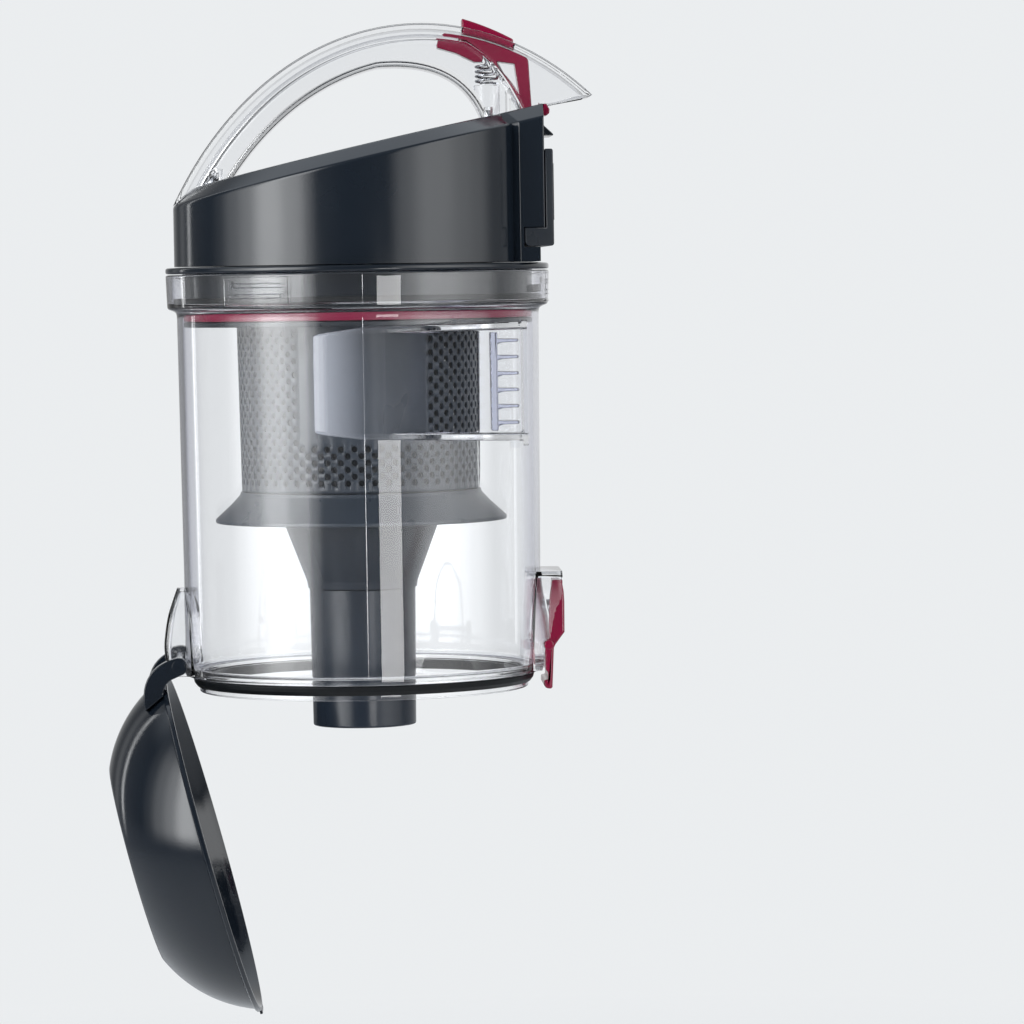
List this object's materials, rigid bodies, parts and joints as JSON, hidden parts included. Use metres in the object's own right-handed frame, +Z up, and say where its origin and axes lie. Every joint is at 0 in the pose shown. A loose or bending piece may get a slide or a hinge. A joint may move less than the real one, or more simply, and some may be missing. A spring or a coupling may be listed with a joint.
{
  "type": "vacuum cleaner dust container",
  "caption": "Removable cyclone dust container with carrying handle, release button, cyclone unit, clear twist-off bin, hinged bottom lid and lever latch.",
  "frame": {"origin": "middle of the carrying grip, on the bin's axis, where a hand holds the container", "axes": "+Z up along the bin's axis, +X towards the side that docks on the vacuum cleaner, the inlet duct on the -Y side; stored with the bottom lid hanging open"},
  "size_m": [0.1991, 0.1546, 0.4006],
  "materials": {
    "dark_gloss_plastic": "glossy moulded ABS, dark blue-grey",
    "dark_satin_plastic": "satin moulded ABS, dark blue-grey",
    "grey_plastic": "satin moulded plastic, mid grey",
    "clear_plastic": "clear polished plastic with faintly violet edges",
    "magenta_plastic": "glossy moulded plastic, magenta red",
    "black_rubber": "soft moulded rubber",
    "foam": "open-cell filter foam",
    "filter_paper": "pleated filter fleece",
    "steel": "plain steel"
  },
  "bodies": {
    "housing": {"housing_cover": "dark_gloss_plastic", "housing_base": "dark_gloss_plastic", "docking_frame": "dark_satin_plastic", "outlet_seal": "black_rubber", "outlet_grille": "dark_satin_plastic", "collar_gasket": "black_rubber", "trim_ring": "magenta_plastic", "seal_ring": "black_rubber", "mesh_screen": "grey_plastic", "dust_skirt": "grey_plastic", "cyclone_cone": "grey_plastic", "dust_tube": "dark_satin_plastic", "vortex_cap": "grey_plastic", "filter_tray": "dark_satin_plastic", "foam_filter": "foam", "pleated_filter": "filter_paper", "filter_frame": "dark_satin_plastic", "handle_screw_left": "steel", "handle_screw_right": "steel", "handle_lower": "clear_plastic", "handle_upper": "clear_plastic", "release_spring": "steel"},
    "release": {"release_button": "magenta_plastic", "release_slider": "magenta_plastic"},
    "bin": {"bin_shell": "clear_plastic", "inlet_duct": "clear_plastic", "inlet_comb": "clear_plastic", "bottom_seal": "black_rubber", "lid_hinge_pin": "steel", "latch_spring": "steel"},
    "latch": {"latch_lever": "magenta_plastic"},
    "lid": {"bottom_lid": "dark_gloss_plastic", "tube_pad": "black_rubber"}
  },
  "joints": [
    {"name": "release_press", "type": "slide", "parent": "housing", "child": "release", "axis": [0, 0, -1], "range_m": [0, 0.003], "stiffness_N_per_m": 800, "springref_m": -0.004, "deforming": ["release_spring"]},
    {"name": "bin_twist", "type": "hinge", "parent": "housing", "child": "bin", "pos_m": [0, 0, -0.096], "axis": [0, 0, 1], "range_deg": [0, 20]},
    {"name": "lid_swing", "type": "hinge", "parent": "bin", "child": "lid", "pos_m": [-0.0741, 0, -0.2454], "axis": [0, 1, 0], "range_deg": [-75.1, 20]},
    {"name": "latch_tilt", "type": "hinge", "parent": "bin", "child": "latch", "pos_m": [0.0741, 0, -0.2397], "axis": [0, 1, 0], "range_deg": [0, 6.5], "stiffness_Nm_per_rad": 0.3, "springref_deg": 11.46}
  ]
}
